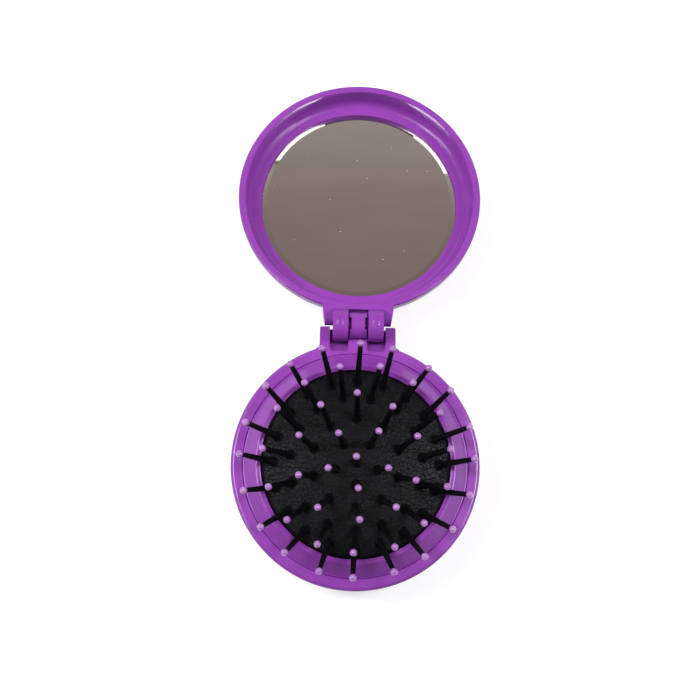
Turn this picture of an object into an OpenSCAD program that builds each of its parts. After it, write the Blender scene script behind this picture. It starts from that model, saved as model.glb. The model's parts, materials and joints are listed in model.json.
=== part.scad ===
// Round folding hairbrush: a base that holds a sliding pin cushion, and a hinged lid that
// holds a round mirror. Drawn open, with the cushion popped up and the lid laid back.
// Millimetres, +Z up. The foot ring of the base stands on z = 0 around the origin, and the
// hinge and the opened lid lie along +Y.

/* [Base] */
// Outer radius of the base at its rim
base_r = 32.5; // [31:0.5:36]
// Height of the base from its foot to its rim
base_h = 17.5; // [17:0.5:22]
// Width of the rim between the bore and the outer edge
base_rim_w = 3.1; // [2.8:0.1:4]
// Rounding of the outer edge of the base rim
base_rim_round = 0.9; // [0.3:0.1:1.2]
// Rounding of the rim's inner edge, round the bore
bore_round = 0.3; // [0.1:0.05:0.4]
// Inward lean of the base wall from the rim to the foot, in degrees
base_draft = 1; // [0:0.5:6]
// Rounding between the base wall and the foot
foot_round = 5; // [3:0.5:5.5]
// Thickness of the base floor
floor_t = 1.6; // [1.2:0.1:2.4]

/* [Cushion frame] */
// Radial gap between the cushion frame and the bore of the base
slide_gap = 0.06; // [0.03:0.01:0.1]
// Wall of the skirt and of the sloping band
frame_wall = 1.3; // [1:0.1:1.6]
// Width of the sloping band, seen from above
band_w = 3.4; // [3:0.1:4]
// Rise of the sloping band
band_rise = 3.1; // [2.6:0.1:3.8]
// Depth of the band's outer edge under the base rim
band_drop = 0.1; // [0.05:0.05:0.4]
// Rounding of the band's outer edge
band_round = 0.35; // [0.1:0.05:0.4]
// Width of the flat lip inside the band
lip_w = 1.4; // [1:0.1:1.8]
// Fall of the lip toward the cushion
lip_fall = 0.4; // [0.2:0.1:0.6]
// Width of each guide tab on the skirt
tab_w = 3; // [2:0.5:5]
// Radial reach of each guide tab beyond the skirt
tab_reach = 0.4; // [0.2:0.1:0.5]
// Height of each guide tab
tab_h = 0.8; // [0.5:0.1:1.2]
// Number of guide tabs
tab_count = 3; // [3:3:6]

/* [Cushion] */
// Height of the cushion's crown over the base rim
crown_h = 4.6; // [4.4:0.1:5.4]
// Radius of the cushion's dome
dome_r = 148; // [120:1:220]
// Thickness of the rubber
pad_t = 2; // [1.8:0.1:2.4]
// Gap between the cushion's edge and the lip
pad_gap = 0.2; // [0.1:0.05:0.4]
// Rounding of the cushion's edge
pad_round = 1; // [0.6:0.1:1.2]
// Thickness of the flange that is clamped in the frame
flange_t = 1.5; // [1.2:0.1:1.8]
// Radial width of that flange beyond the cushion's edge
flange_w = 1.1; // [0.8:0.1:1.4]

/* [Push plate] */
// Thickness of the plate that the thumb pushes
plate_t = 1.6; // [1.2:0.1:2]
// Height of the plate over the table when the cushion is stowed
plate_lift = 0.3; // [0.1:0.1:1]
// Depth of the shallow dish in the plate
dish_depth = 0.6; // [0.3:0.1:1]
// Gap between the plate and the edge of the floor opening
plate_gap = 0.3; // [0.2:0.05:0.5]

/* [Pins] */
// Distance of the outer pin ring from the cushion's edge
ring_inset = 3; // [2.8:0.1:3.6]
// Distance between the outer pin ring and the next one
outer_ring_gap = 4.2; // [3.8:0.1:4.8]
// Extra outward lean of each pin ring, in degrees
pin_lean = 9.4; // [8:0.1:9.8]
// Length of a pin from the rubber to the centre of its ball
pin_len = 13.4; // [12.6:0.1:13.8]
// Diameter of a pin where it leaves the rubber
pin_root_d = 2.2; // [1.8:0.1:2.4]
// Diameter of a pin over its flared root
pin_d = 1.65; // [1.3:0.05:1.75]
// Diameter of a pin at its ball
pin_end_d = 1.25; // [1:0.05:1.35]
// Length of the flared root
pin_flare = 2.5; // [1.5:0.1:4]
// Diameter of the ball on a pin
tip_d = 1.84; // [1.7:0.02:2.1]
// Diameter of the head that holds a pin under the rubber
head_d = 3; // [2.8:0.1:3.2]
// Thickness of that head
head_t = 0.7; // [0.5:0.1:0.9]

/* [Lid] */
// Outer radius of the lid
lid_r = 33; // [32.5:0.5:36]
// Thickness of the lid from its rim to its back
lid_t = 11.5; // [11:0.5:13]
// Width of the lid's rim
lid_rim_w = 1.95; // [1.5:0.05:2.1]
// Rounding of the outer edge of the lid's rim
lid_rim_round = 0.7; // [0.3:0.1:0.8]
// Rounding between the lid's wall and its back
lid_back_round = 10; // [8:0.5:10.5]
// Inward step of the lid's inner wall from the rim to the ledge
lid_taper = 0.4; // [0.2:0.1:0.6]
// Depth of the ledge under the rim
ledge_depth = 6; // [5.6:0.1:6.4]
// Rounding between the lid's inner wall and the ledge
ledge_round = 2.2; // [0.5:0.1:2.6]
// Radius of the mirror
mirror_r = 26.9; // [25:0.1:27.4]
// Depth of the mirror's face under the rim
mirror_depth = 7; // [6.9:0.1:7.4]
// Thickness of the mirror
mirror_t = 1.8; // [1.4:0.1:2]
// Width of the ground bevel around the mirror's face
mirror_bevel_w = 1.2; // [0.5:0.1:2]
// Fall of that bevel toward the mirror's edge
mirror_bevel = 0.3; // [0.1:0.1:0.8]
// Gap between the mirror and its recess
mirror_gap = 0.05; // [0.03:0.01:0.2]
// Thickness of the adhesive disc behind the mirror
tape_t = 0.4; // [0.2:0.1:0.6]
// Distance of the adhesive disc's edge from the mirror's edge
tape_inset = 2; // [1:0.5:5]

/* [Hinge] */
// Distance from the base's edge to the hinge axis
axis_reach = 4.4; // [4.3:0.1:5]
// Gap between the two rims when the lid is closed
closed_gap = 0.2; // [0.1:0.05:0.4]
// Width of the knuckle on the base
knuckle_w = 4.5; // [4:0.1:5]
// Radius of the knuckle
knuckle_r = 3.5; // [3.2:0.1:3.7]
// Widening of the knuckle's root on each side
root_step = 0.2; // [0.1:0.05:0.3]
// Width of each finger on the lid
finger_w = 4.05; // [3.5:0.05:4.3]
// Radius of each finger
finger_r = 4.2; // [4:0.1:4.3]
// Gap between a finger and the root of the knuckle
finger_gap = 0.2; // [0.15:0.05:0.3]
// Radius of the pivot boss on each finger
pivot_r = 1.5; // [1.2:0.1:1.8]
// Radial gap of the pivot boss in the knuckle
pivot_gap = 0.05; // [0.02:0.01:0.1]
// Depth of the pivot bore in each side of the knuckle
pivot_depth = 1.05; // [0.8:0.05:1.3]
// Depth of the snap-in slot over each pivot bore
snap_depth = 0.48; // [0.3:0.02:0.6]
// Free width beside each finger in its pocket
pocket_play = 0.7; // [0.5:0.1:1.2]
// Depth of the pockets under the base rim
pocket_depth = 4.9; // [4.6:0.1:5.4]
// Depth of the step in front of each finger
step_depth = 2.9; // [2:0.1:3.2]
// Wall left between the pockets and the bore
pocket_wall = 0.6; // [0.5:0.1:1.2]
// Width of each ear on the base
ear_w = 2.65; // [2:0.05:3]
// Fall of each ear's top toward its end
ear_fall = 1.2; // [0.8:0.1:1.6]
// Half width of the lid's hinge block at the lid
block_half_w = 9.4; // [8.6:0.1:9.8]
// Narrowing of each side of that block toward the axis
block_taper = 0.7; // [0.3:0.1:1]
// Depth of the lid's hinge block under the rim
block_depth = 7.1; // [6:0.1:8]
// Rounding of the block's top edge
block_round = 2; // [1.5:0.1:2.4]
// Fillet between the base wall and its hinge block
hinge_fillet = 1.5; // [0.8:0.1:2]

/* [Hidden] */
$fn = 96;
eps = 0.01;
arc_steps = 6;

purple = [0.60, 0.30, 0.69];
rubber_black = [0.11, 0.11, 0.12];
pin_black = [0.07, 0.07, 0.08];
tip_lilac = [0.78, 0.63, 0.86];
mirror_silver = [0.72, 0.74, 0.76];
tape_white = [0.90, 0.90, 0.88];

// Base
bore_r = base_r - base_rim_w;

// Cushion frame, popped up
frame_r = bore_r - slide_gap;
band_z = base_h - band_drop;
ridge_r = frame_r - band_w;
ridge_z = band_z + band_rise;
lip_r = ridge_r - lip_w;
lip_z = ridge_z - lip_fall;
ridge_round = 0.7;
lip_round = 0.4;
clamp_ring_t = 1.2;

// Cushion
clamp_rise = 0.5;
pad_r = lip_r - pad_gap;
clamp_r = pad_r + flange_w;
clamp_z = base_h + clamp_rise;
flange_z = clamp_z - flange_t;
dome_edge_r = pad_r - pad_round;
pad_inner_r = pad_r - pad_t;
function dome_z(r) = base_h + crown_h - (dome_r - sqrt(dome_r * dome_r - r * r));

// Pins
PIN_RINGS = 4;
PINS_PER_RING = 5;
tip_r = tip_d / 2;
outer_ring_r = pad_r - ring_inset;
inner_pitch = (outer_ring_r - outer_ring_gap) / (PIN_RINGS - 1);
function ring_r(k) = k == PIN_RINGS ? outer_ring_r : k * inner_pitch;
function ring_lean(k) = k * pin_lean;
pin_seat = 1.3;
pin_hole_rise = 2;
head_room = 3;
pin_grip = 0.02;
pin_grip_rise = 0.2;
tip_sink = 0.15;
tip_grip = 0.01;

// Stowing: the outer balls come down to just over the base rim
tip_rest_gap = 0.4;
outer_tip_z = dome_z(outer_ring_r) + pin_len * cos(ring_lean(PIN_RINGS));
stroke = outer_tip_z - tip_r - tip_rest_gap - base_h;
floor_stop_gap = 0.2;
skirt_z = stroke + floor_t + floor_stop_gap;

// Push plate
plate_z = stroke + plate_lift;
seat_gap = 0.1;
plate_flange_z = skirt_z + seat_gap;
plate_flange_t = 1.2;
plate_flange_r = frame_r - frame_wall - seat_gap;
plate_seat_z = plate_flange_z + plate_flange_t;
plate_reach = 0.6;
plate_r = pad_r + plate_reach;
plate_round = 0.5;
dish_inset = 3;
well_r = plate_r + plate_gap;
clamp_wall = 1.6;

// Guide tabs
tab_rise = 0.7;
tab_z = skirt_z + tab_rise;
tab_gap = 0.15;

// Lid, in a frame whose origin is the hinge axis
rim_drop = closed_gap / 2;
axis_y = base_r + axis_reach;
axis_z = base_h + rim_drop;
lid_centre_y = lid_r + axis_reach;
lid_bore_r = lid_r - lid_rim_w;
recess_depth = mirror_depth + mirror_t + tape_t;
recess_r = mirror_r + mirror_gap;
ledge_bevel = 0.15;
rim_bevel = 0.2;
// Angle at which the back edge of the opened lid meets the table
lid_heel_y = lid_centre_y + lid_r - lid_back_round;
lid_heel_z = rim_drop + lid_t - lid_back_round;
heel_drop = axis_z - lid_back_round;
droop = asin(heel_drop / norm([lid_heel_y, lid_heel_z])) - atan(lid_heel_z / lid_heel_y);

// Hinge
root_half_w = knuckle_w / 2 + root_step;
finger_in = root_half_w + finger_gap;
finger_out = finger_in + finger_w;
pocket_half_w = finger_out + pocket_play;
ear_half_w = pocket_half_w + ear_w;
pocket_y = bore_r + pocket_wall;
ear_back = 0.1;
ear_y = axis_y - ear_back;
ear_corner = 0.4;
hollow_gap = 1.1;
hollow_r = knuckle_r + hollow_gap;
block_end_y = 0.7;
block_bite = 3.8;
block_in_y = axis_reach + block_bite;
block_heel_y = 3.6;
block_wall_bite = 0.6;
block_floor_bite = 0.5;
web_bite = 1.6;
web_in_y = axis_reach + web_bite;
root_inset = 0.2;
root_in_y = bore_r + root_inset;
shelf_bite = 3;
shelf_in_y = bore_r - shelf_bite;
shelf_t = 2;
shelf_inset = 1.2;
root_round = 0.3;
pocket_round = 0.8;
boss_end_gap = 0.15;
web_round = 0.6;
mark_r = 0.8;
mark_depth = 0.12;

// Points of an arc round [x, y]
function arc(x, y, r, from, to, steps = arc_steps) =
    [for (i = [0 : steps]) let (a = from + (to - from) * i / steps) [x + r * cos(a), y + r * sin(a)]];

// Extrudes a side outline, drawn as [y, z], across x from x0 to x1
module across(x0, x1) {
    translate([x0, 0, 0])
        rotate([90, 0, 90])
            linear_extrude(height = x1 - x0)
                children();
}

// Places a part of the carriage or lid in the frame of the opened lid
module in_lid() {
    translate([0, axis_y, axis_z])
        rotate([-droop, 0, 0])
            children();
}

// Places children round the axis of the lid's dish, with z = 0 at the lid's rim
module in_dish() {
    in_lid()
        translate([0, lid_centre_y, -rim_drop])
            children();
}

// Places children at every pin of ring k, with +Z along the pin and z = 0 on the rubber
module on_ring(k) {
    count = k == 0 ? 1 : PINS_PER_RING * k;
    for (i = [0 : count - 1])
        rotate([0, 0, -90 + 360 * i / count])
            translate([ring_r(k), 0, dome_z(ring_r(k))])
                rotate([0, ring_lean(k), 0])
                    children();
}

// ---- Base ----

// Side outline of the base wall, floor and rim
module base_outline() {
    draft_run = tan(base_draft);
    wall_top = [base_r, base_h - base_rim_round];
    foot_x = base_r - (base_h - base_rim_round - foot_round) * draft_run - foot_round;
    polygon(concat(
        [[well_r, 0]],
        arc(foot_x, foot_round, foot_round, 270, 360 - base_draft),
        [wall_top],
        arc(base_r - base_rim_round, base_h - base_rim_round, base_rim_round, 15, 90),
        arc(bore_r + bore_round, base_h - bore_round, bore_round, 90, 180),
        [[bore_r, floor_t], [well_r, floor_t]]
    ));
}

// Plan of the hinge block, with rounded ear corners
module base_block_plan() {
    polygon(concat(
        [[-ear_half_w, shelf_in_y], [ear_half_w, shelf_in_y]],
        arc(ear_half_w - ear_corner, ear_y - ear_corner, ear_corner, 0, 90),
        arc(-ear_half_w + ear_corner, ear_y - ear_corner, ear_corner, 90, 180)
    ));
    // Fillets into the round wall
    fillet_y = sqrt(pow(base_r + hinge_fillet, 2) - pow(ear_half_w + hinge_fillet, 2));
    touch = base_r / (base_r + hinge_fillet);
    for (side = [-1, 1])
        difference() {
            polygon([
                [side * (ear_half_w - 1), fillet_y],
                [side * ear_half_w, fillet_y],
                [side * (ear_half_w + hinge_fillet) * touch, fillet_y * touch],
                [side * (ear_half_w - 1), fillet_y - hinge_fillet * 2]
            ]);
            translate([side * (ear_half_w + hinge_fillet), fillet_y])
                circle(r = hinge_fillet, $fn = 48);
        }
}

// Side outline of the ears and of the shelf under the pockets
module base_block_side() {
    polygon([
        [shelf_in_y, base_h / 2],
        [base_r - 1, base_h / 2],
        [ear_y - shelf_inset, base_h - pocket_depth - shelf_t],
        [ear_y, base_h - pocket_depth],
        [ear_y, base_h - ear_fall],
        [base_r, base_h - base_rim_round / 3],
        [base_r - base_rim_round, base_h],
        [shelf_in_y, base_h]
    ]);
}

// Pocket beside the knuckle, rounded at its two inner corners, with a step in front that is
// hollowed round the hinge axis
module pocket() {
    r = pocket_round;
    out_y = axis_y + finger_r;
    floor_z = base_h - pocket_depth;
    difference() {
        translate([0, 0, floor_z])
            linear_extrude(height = pocket_depth + 1)
                polygon(concat(
                    arc(root_half_w + r, pocket_y + r, r, 180, 270),
                    arc(pocket_half_w - r, pocket_y + r, r, 270, 360),
                    [[pocket_half_w, out_y], [root_half_w, out_y]]
                ));
        across(0, ear_half_w)
            difference() {
                translate([shelf_in_y, 0])
                    square([axis_y - shelf_in_y, base_h - step_depth]);
                translate([axis_y, axis_z])
                    circle(r = axis_z - floor_z);
            }
    }
}

// Centre knuckle with a root that runs into the base wall
module knuckle() {
    knuckle_in_y = axis_y - knuckle_r;
    knuckle_low_z = axis_z - knuckle_r;
    across(-knuckle_w / 2, knuckle_w / 2) {
        translate([axis_y, axis_z])
            circle(r = knuckle_r);
        polygon([
            [knuckle_in_y, base_h],
            [axis_y, base_h],
            [axis_y, knuckle_low_z],
            [knuckle_in_y, knuckle_low_z - shelf_t]
        ]);
    }
    across(-root_half_w, root_half_w)
        polygon([
            [root_in_y, base_h],
            [knuckle_in_y - root_round, base_h],
            [knuckle_in_y + root_round, knuckle_low_z],
            [knuckle_in_y, knuckle_low_z - shelf_t],
            [root_in_y, base_h / 2]
        ]);
}

// Pivot bores in the sides of the knuckle, with the slots that the bosses snap in through
module pivot_bores() {
    for (side = [-1, 1]) {
        translate([side * knuckle_w / 2, axis_y, axis_z])
            rotate([0, 90, 0])
                cylinder(r = pivot_r + pivot_gap, h = 2 * pivot_depth, center = true);
        translate([side * knuckle_w / 2, axis_y, axis_z + knuckle_r])
            cube([2 * snap_depth, 2 * (pivot_r + pivot_gap), 2 * knuckle_r], center = true);
    }
}

module base_shell() {
    groove_reach = 1 + tab_reach + tab_gap - slide_gap;
    color(purple)
        difference() {
            union() {
                rotate_extrude()
                    base_outline();
                difference() {
                    intersection() {
                        linear_extrude(height = base_h)
                            base_block_plan();
                        across(-ear_half_w - 2 * hinge_fillet, ear_half_w + 2 * hinge_fillet)
                            base_block_side();
                    }
                    cylinder(r = bore_r, h = 3 * base_h, center = true);
                }
                knuckle();
            }
            for (side = [0, 1])
                mirror([side, 0, 0])
                    pocket();
            pivot_bores();
            // Grooves for the guide tabs
            for (i = [0 : tab_count - 1])
                rotate([0, 0, -90 + 360 * i / tab_count])
                    translate([bore_r - 1, -tab_w / 2 - tab_gap, tab_z - stroke - tab_gap])
                        cube([groove_reach, tab_w + 2 * tab_gap, stroke + tab_h + 2 * tab_gap]);
        }
}

// ---- Carriage ----

module pad_frame() {
    slope = atan(band_rise / band_w);
    under = frame_wall / cos(slope);
    ring_in_r = clamp_r + seat_gap;
    ring_out_r = ring_in_r + clamp_ring_t;
    skirt_in_r = frame_r - frame_wall;
    color(purple) {
        rotate_extrude()
            polygon(concat(
                [[frame_r, skirt_z]],
                arc(frame_r - band_round, band_z - band_round, band_round, 0, 90),
                arc(ridge_r - ridge_round / 2, ridge_z - ridge_round, ridge_round, slope, 90),
                arc(lip_r + lip_round, lip_z - lip_round, lip_round, 100, 180),
                [
                    [lip_r, clamp_z],
                    [ring_in_r, clamp_z],
                    [ring_in_r, plate_seat_z],
                    [ring_out_r, plate_seat_z],
                    [ring_out_r, band_z + (frame_r - ring_out_r) * tan(slope) - under],
                    [skirt_in_r, band_z + frame_wall * tan(slope) - under],
                    [skirt_in_r, skirt_z]
                ]
            ));
        // Guide tabs, which stop the cushion at the top and keep it from turning
        intersection() {
            rotate_extrude()
                translate([frame_r - frame_wall / 2, tab_z])
                    square([frame_wall / 2 + tab_reach, tab_h]);
            for (i = [0 : tab_count - 1])
                rotate([0, 0, -90 + 360 * i / tab_count])
                    translate([0, -tab_w / 2, 0])
                        cube([base_r, tab_w, base_h]);
        }
    }
}

module cushion_pad() {
    edge_z = dome_z(dome_edge_r) - pad_round;
    steps = 12;
    color(rubber_black)
        difference() {
            rotate_extrude()
                polygon(concat(
                    [for (i = [0 : steps]) let (r = dome_edge_r * i / steps) [r, dome_z(r)]],
                    arc(dome_edge_r, edge_z, pad_round, 80, 0),
                    [
                        [pad_r, clamp_z],
                        [clamp_r, clamp_z],
                        [clamp_r, flange_z],
                        [pad_inner_r, flange_z]
                    ],
                    [for (i = [steps : -1 : 0]) let (r = pad_inner_r * i / steps) [r, dome_z(r) - pad_t]]
                ));
            // A hole for each pin and a seat for its head
            for (k = [0 : PIN_RINGS])
                on_ring(k) {
                    translate([0, 0, -pin_seat - eps])
                        cylinder(d = pin_root_d + 2 * pin_grip, h = pin_seat + pin_hole_rise, $fn = 24);
                    translate([0, 0, -pin_seat - head_room])
                        cylinder(d = head_d + 2 * pin_grip, h = head_room, $fn = 24);
                }
        }
}

// Plate that the thumb pushes, with the wall that clamps the cushion's flange
module push_plate() {
    dish_r = plate_r - dish_inset;
    steps = 8;
    function dish_z(r) = dish_depth * (1 - pow(r / dish_r, 2));
    color(purple)
        rotate_extrude()
            polygon(concat(
                [for (i = [0 : steps]) let (r = dish_r * i / steps) [r, plate_z + dish_z(r)]],
                arc(plate_r - plate_round, plate_z + plate_round, plate_round, 270, 360, 4),
                [
                    [plate_r, plate_flange_z],
                    [plate_flange_r, plate_flange_z],
                    [plate_flange_r, plate_seat_z],
                    [clamp_r, plate_seat_z],
                    [clamp_r, flange_z],
                    [clamp_r - clamp_wall, flange_z],
                    [clamp_r - clamp_wall, plate_z + plate_t]
                ],
                [for (i = [steps : -1 : 0]) let (r = dish_r * i / steps) [r, plate_z + plate_t + dish_z(r)]]
            ));
}

// One pin: head under the rubber, flared root, tapering shaft
module pin() {
    shaft_end = pin_len + tip_sink;
    rotate_extrude($fn = 24)
        polygon([
            [0, -pin_seat - head_t],
            [head_d / 2, -pin_seat - head_t],
            [head_d / 2, -pin_seat],
            [pin_root_d / 2, -pin_seat],
            [pin_root_d / 2, pin_grip_rise],
            [pin_d / 2, pin_flare],
            [pin_end_d / 2, pin_len - tip_d],
            [pin_end_d / 2, shaft_end],
            [0, shaft_end]
        ]);
}

// One ball, bored for the end of its pin
module tip() {
    difference() {
        translate([0, 0, pin_len])
            sphere(r = tip_r, $fn = 32);
        translate([0, 0, pin_len - tip_d])
            cylinder(d = pin_end_d + 2 * tip_grip, h = tip_d + tip_sink, $fn = 24);
    }
}

module pins(k) {
    color(pin_black)
        on_ring(k)
            pin();
}

module tips(k) {
    color(tip_lilac)
        on_ring(k)
            tip();
}

// ---- Lid ----

module lid_dish_outline() {
    ledge_out_r = lid_bore_r - lid_taper;
    polygon(concat(
        [
            [0, -recess_depth],
            [recess_r, -recess_depth],
            [recess_r, -ledge_depth - ledge_bevel],
            [recess_r + ledge_bevel, -ledge_depth]
        ],
        arc(ledge_out_r - ledge_round, -ledge_depth + ledge_round, ledge_round, 270, 360, 8),
        [[lid_bore_r, -rim_bevel], [lid_bore_r + rim_bevel, 0]],
        arc(lid_r - lid_rim_round, -lid_rim_round, lid_rim_round, 90, 0),
        arc(lid_r - lid_back_round, -lid_t + lid_back_round, lid_back_round, 0, -90, 10),
        [[0, -lid_t]]
    ));
}

// Hinge block on the lid: tapered in plan, rounded at its top edge, cut away underneath and
// kept out of the dish
module lid_block() {
    top_z = -rim_drop;
    cut_depth = ledge_depth + block_floor_bite;
    difference() {
        intersection() {
            across(-block_half_w, block_half_w)
                polygon(concat(
                    [[block_in_y, top_z]],
                    arc(block_end_y + block_round, top_z - block_round, block_round, 90, 180),
                    [
                        [block_end_y, top_z - block_round - 0.5],
                        [block_heel_y, top_z - block_depth],
                        [block_in_y, top_z - block_depth]
                    ]
                ));
            translate([0, 0, -2 * block_depth])
                linear_extrude(height = 4 * block_depth)
                    polygon([
                        [-block_half_w, block_in_y],
                        [-block_half_w, axis_reach],
                        [-block_half_w + block_taper, 0],
                        [block_half_w - block_taper, 0],
                        [block_half_w, axis_reach],
                        [block_half_w, block_in_y]
                    ]);
        }
        translate([0, lid_centre_y, top_z - cut_depth])
            cylinder(r = lid_bore_r + block_wall_bite, h = cut_depth + 1);
    }
}

// Two hinge fingers with their pivot bosses
module fingers() {
    boss_in = knuckle_w / 2 - pivot_depth + boss_end_gap;
    for (side = [0, 1])
        mirror([side, 0, 0]) {
            difference() {
                across(finger_in, finger_out) {
                    circle(r = finger_r);
                    polygon([
                        [0, -finger_r],
                        [block_heel_y, -block_depth],
                        [web_in_y, -block_depth],
                        [web_in_y, -rim_drop],
                        [finger_r + web_round, -rim_drop],
                        [finger_r * cos(15), finger_r * sin(15)],
                        [0, finger_r * sin(15)]
                    ]);
                }
                translate([(finger_in + finger_out) / 2, 0, finger_r - mark_depth])
                    cylinder(r = mark_r, h = 1, $fn = 32);
            }
            translate([boss_in, 0, 0])
                rotate([0, 90, 0])
                    cylinder(r = pivot_r, h = finger_in - boss_in + eps);
        }
}

module lid_shell() {
    color(purple)
        in_lid() {
            difference() {
                union() {
                    translate([0, lid_centre_y, -rim_drop])
                        rotate_extrude()
                            lid_dish_outline();
                    lid_block();
                }
                // Hollow that swings round the knuckle
                rotate([0, 90, 0])
                    cylinder(r = hollow_r, h = 2 * finger_in, center = true);
            }
            fingers();
        }
}

module mirror_glass() {
    color(mirror_silver)
        in_dish()
            rotate_extrude()
                polygon([
                    [0, -mirror_depth - mirror_t],
                    [mirror_r, -mirror_depth - mirror_t],
                    [mirror_r, -mirror_depth - mirror_bevel],
                    [mirror_r - mirror_bevel_w, -mirror_depth],
                    [0, -mirror_depth]
                ]);
}

module mirror_tape() {
    color(tape_white)
        in_dish()
            translate([0, 0, -recess_depth])
                cylinder(r = mirror_r - tape_inset, h = tape_t);
}

base_shell();
pad_frame();
cushion_pad();
push_plate();
pins(0);  // pin_centre
pins(1);  // pins_ring_1
pins(2);  // pins_ring_2
pins(3);  // pins_ring_3
pins(4);  // pins_ring_4
tips(0);  // tip_centre
tips(1);  // tips_ring_1
tips(2);  // tips_ring_2
tips(3);  // tips_ring_3
tips(4);  // tips_ring_4
lid_shell();
mirror_glass();
mirror_tape();
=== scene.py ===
"""Finish of a round folding hairbrush with a mirror in its lid.

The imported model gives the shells, the cushion frame and the push plate, which get their moulded
plastic here. This script makes the rubber cushion, the bristles with their balls and collars,
and the mirror plate. Lengths are in metres, and MM turns millimetres into metres.
"""
import json
import math

import bpy
import bmesh
from mathutils import Matrix, Vector


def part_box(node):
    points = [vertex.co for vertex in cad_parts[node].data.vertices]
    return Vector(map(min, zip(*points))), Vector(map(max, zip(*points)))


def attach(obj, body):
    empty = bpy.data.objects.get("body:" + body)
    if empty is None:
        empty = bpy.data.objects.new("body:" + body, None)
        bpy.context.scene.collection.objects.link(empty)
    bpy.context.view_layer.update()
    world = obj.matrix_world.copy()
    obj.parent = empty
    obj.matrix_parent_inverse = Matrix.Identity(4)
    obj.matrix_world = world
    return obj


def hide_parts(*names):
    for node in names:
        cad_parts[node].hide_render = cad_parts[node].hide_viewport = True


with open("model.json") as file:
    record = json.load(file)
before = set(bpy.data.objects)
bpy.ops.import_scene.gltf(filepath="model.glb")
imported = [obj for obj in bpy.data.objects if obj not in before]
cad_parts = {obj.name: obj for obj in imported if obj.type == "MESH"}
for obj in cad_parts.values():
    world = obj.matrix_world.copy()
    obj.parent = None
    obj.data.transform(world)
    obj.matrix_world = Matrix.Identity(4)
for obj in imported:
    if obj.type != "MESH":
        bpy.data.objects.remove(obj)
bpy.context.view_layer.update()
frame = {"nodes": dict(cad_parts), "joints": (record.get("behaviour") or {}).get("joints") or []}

MM = 0.001


# ---- Sizes, from the frame where it has them ----

def half_width(node):
    """Half of a node's size along X."""
    low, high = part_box(node)
    return (high[0] - low[0]) / 2


def joint(name):
    """Record of a joint in the frame."""
    return next(j for j in frame["joints"] if j["name"] == name)


# Hinge: the gap left between the rims when shut, and how far the open lid leans below level
CLOSED_GAP = 0.2 * MM
HINGE = Vector(joint("lid_hinge")["pos_m"])
DROOP = math.radians(joint("lid_hinge")["range_deg"][1] - 180)
RIM_Z = HINGE.z - CLOSED_GAP / 2

# Cushion
FLANGE_R = half_width("cushion_pad")
FLANGE_W = 1.1 * MM
PAD_R = FLANGE_R - FLANGE_W
PAD_EDGE_ROUND = 1.0 * MM
PAD_T = 2.0 * MM
FLANGE_LOW_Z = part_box("cushion_pad")[0][2]
FLANGE_T = 1.5 * MM
CROWN_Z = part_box("cushion_pad")[1][2]
DOME_R = 148 * MM
DOME_STEPS = 14
CUSHION_SEGMENTS = 160

# Bristles: a middle one and rings of 5, 10, 15 and 20, which lean outward step by step
RINGS = 4
PER_RING = 5
OUTER_RING_R = PAD_R - 3.0 * MM
OUTER_RING_GAP = 4.2 * MM
INNER_PITCH = (OUTER_RING_R - OUTER_RING_GAP) / (RINGS - 1)
LEAN_STEP = math.radians(9.4)
OUTER_RING_STEPS = 3.94  # a little under 4, which keeps the balls off the wall of the shut lid
SCATTER = math.radians(3.2)
INNER_CALM = 0.7  # share of the scatter that goes into the lean of the inner rings
OUTER_CALM = 0.04  # the same for the outer ring, which has no room to lean further
SEED = 7
RING_SEED_STEP = 10
LEAN_SEED_STEP = 100
BRISTLE_LEN = 13.4 * MM
BRISTLE_SINK = 1.2 * MM
ROOT_R = 1.1 * MM
SHAFT_R = 0.825 * MM
END_R = 0.625 * MM
FLARE_LEN = 2.5 * MM
SHAFT_RINGS = 24
SHAFT_SIDES = 14
BALL_R = 0.92 * MM
BALL_SEGMENTS = 20
BALL_RINGS = 12
COLLAR_R = 1.7 * MM
COLLAR_TAPER = 0.62
COLLAR_H = 0.35 * MM
COLLAR_SIDES = 20

# Mirror, in the frame of the lid's dish
LID_R = 33.0 * MM
AXIS_REACH = 4.4 * MM
MIRROR_R = 26.9 * MM
MIRROR_DEPTH = 6.6 * MM
MIRROR_T = 2.2 * MM
MIRROR_BEVEL_W = 1.3 * MM
MIRROR_BEVEL = 0.155 * MM
MIRROR_BACK_EDGE = 0.1 * MM
MIRROR_SEGMENTS = 192

DISH = (
    Matrix.Translation(HINGE)
    @ Matrix.Rotation(-DROOP, 4, "X")
    @ Matrix.Translation((0, LID_R + AXIS_REACH, -CLOSED_GAP / 2))
)


# ---- Materials ----

PURPLE_DEEP = (0.292, 0.052, 0.424)
PURPLE_LIGHT = (0.306, 0.056, 0.441)
PURPLE_HAZE = (0.33, 0.072, 0.46)
# Painted shade for the sunken rims of the round marks on the hinge fingers
PURPLE_MARK_SHADE = (0.18, 0.025, 0.28)
PURPLE_DUST = (0.62, 0.5, 0.68)
RUBBER_BLACK = (0.0020, 0.0019, 0.0027)
RUBBER_BLOOM = (0.0044, 0.0041, 0.0053)
RUBBER_CRUMB = (0.013, 0.0125, 0.015)
RUBBER_DUST = (0.10, 0.095, 0.10)
NYLON_BLACK = (0.002, 0.002, 0.0025)
NYLON_STREAK = (0.006, 0.005, 0.008)
LILAC_DEEP = (0.405, 0.150, 0.53)
LILAC_LIGHT = (0.49, 0.205, 0.61)
SILVER_WIPED = (0.84, 0.845, 0.84)
SILVER_CLEAN = (0.88, 0.885, 0.88)
SILVER_DUST = (0.95, 0.93, 0.9)
GROUND_DARK = (0.42, 0.44, 0.43)
GROUND_LIGHT = (0.8, 0.82, 0.81)
FOAM_DARK = (0.72, 0.72, 0.69)
FOAM_LIGHT = (0.84, 0.84, 0.81)

# Places of the colour sockets on a mix node: the first of its two inputs, and its output
MIX_FROM = 6
MIX_OUT = 2

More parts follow.
